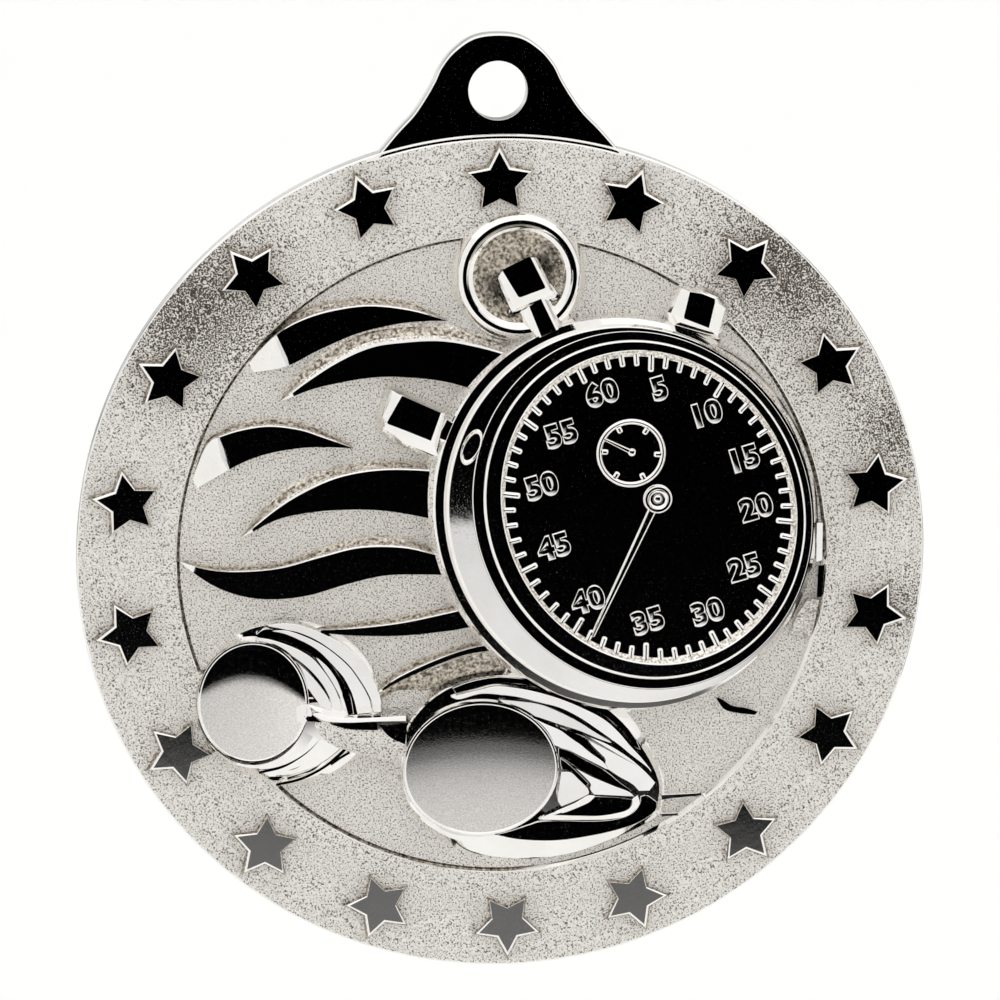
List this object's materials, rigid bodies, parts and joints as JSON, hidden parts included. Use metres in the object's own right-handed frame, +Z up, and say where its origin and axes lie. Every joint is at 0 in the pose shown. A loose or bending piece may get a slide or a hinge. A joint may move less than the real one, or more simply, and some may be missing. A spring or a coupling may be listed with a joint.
{
  "type": "swimming medal",
  "caption": "Round silver-coloured award medal with a loop, a band of stars, and a stopwatch, swimming goggles and waves in raised relief.",
  "frame": {"origin": "centre of the disc, in the plane of its back", "axes": "+Z up through the loop, -Y out of the decorated face, +X to the right of somebody facing the medal"},
  "size_m": [0.05, 0.0034, 0.0558],
  "materials": {
    "polished_silver": "mirror-polished silver plate",
    "grained_silver": "fine sand grain, silver plate"
  },
  "bodies": {
    "root": {"disc_blank": "grained_silver", "suspension_loop": "polished_silver", "star_band": "grained_silver", "star_01": "polished_silver", "star_02": "polished_silver", "star_03": "polished_silver", "star_04": "polished_silver", "star_05": "polished_silver", "star_06": "polished_silver", "star_07": "polished_silver", "star_08": "polished_silver", "star_09": "polished_silver", "star_10": "polished_silver", "star_11": "polished_silver", "star_12": "polished_silver", "star_13": "polished_silver", "star_14": "polished_silver", "star_15": "polished_silver", "star_16": "polished_silver", "star_17": "polished_silver", "star_18": "polished_silver", "wave_1": "polished_silver", "wave_2": "polished_silver", "wave_3": "polished_silver", "wave_4": "polished_silver", "wave_5": "polished_silver", "wave_6": "polished_silver", "wave_7": "polished_silver", "wave_end_1": "polished_silver", "wave_end_2": "polished_silver", "wave_end_3": "polished_silver", "watch_case": "polished_silver", "watch_bezel": "polished_silver", "watch_dial": "polished_silver", "minute_track": "polished_silver", "watch_hand": "polished_silver", "hand_hub": "polished_silver", "subdial_ring": "polished_silver", "subdial_hand": "polished_silver", "bow": "polished_silver", "crown": "polished_silver", "crown_stem": "polished_silver", "pusher_left": "polished_silver", "pusher_right": "polished_silver", "lens_left": "polished_silver", "lens_right": "polished_silver", "cup_left": "polished_silver", "cup_right": "polished_silver", "nose_bridge": "polished_silver", "strap_upper": "polished_silver", "strap_lower": "polished_silver"}
  },
  "joints": []
}
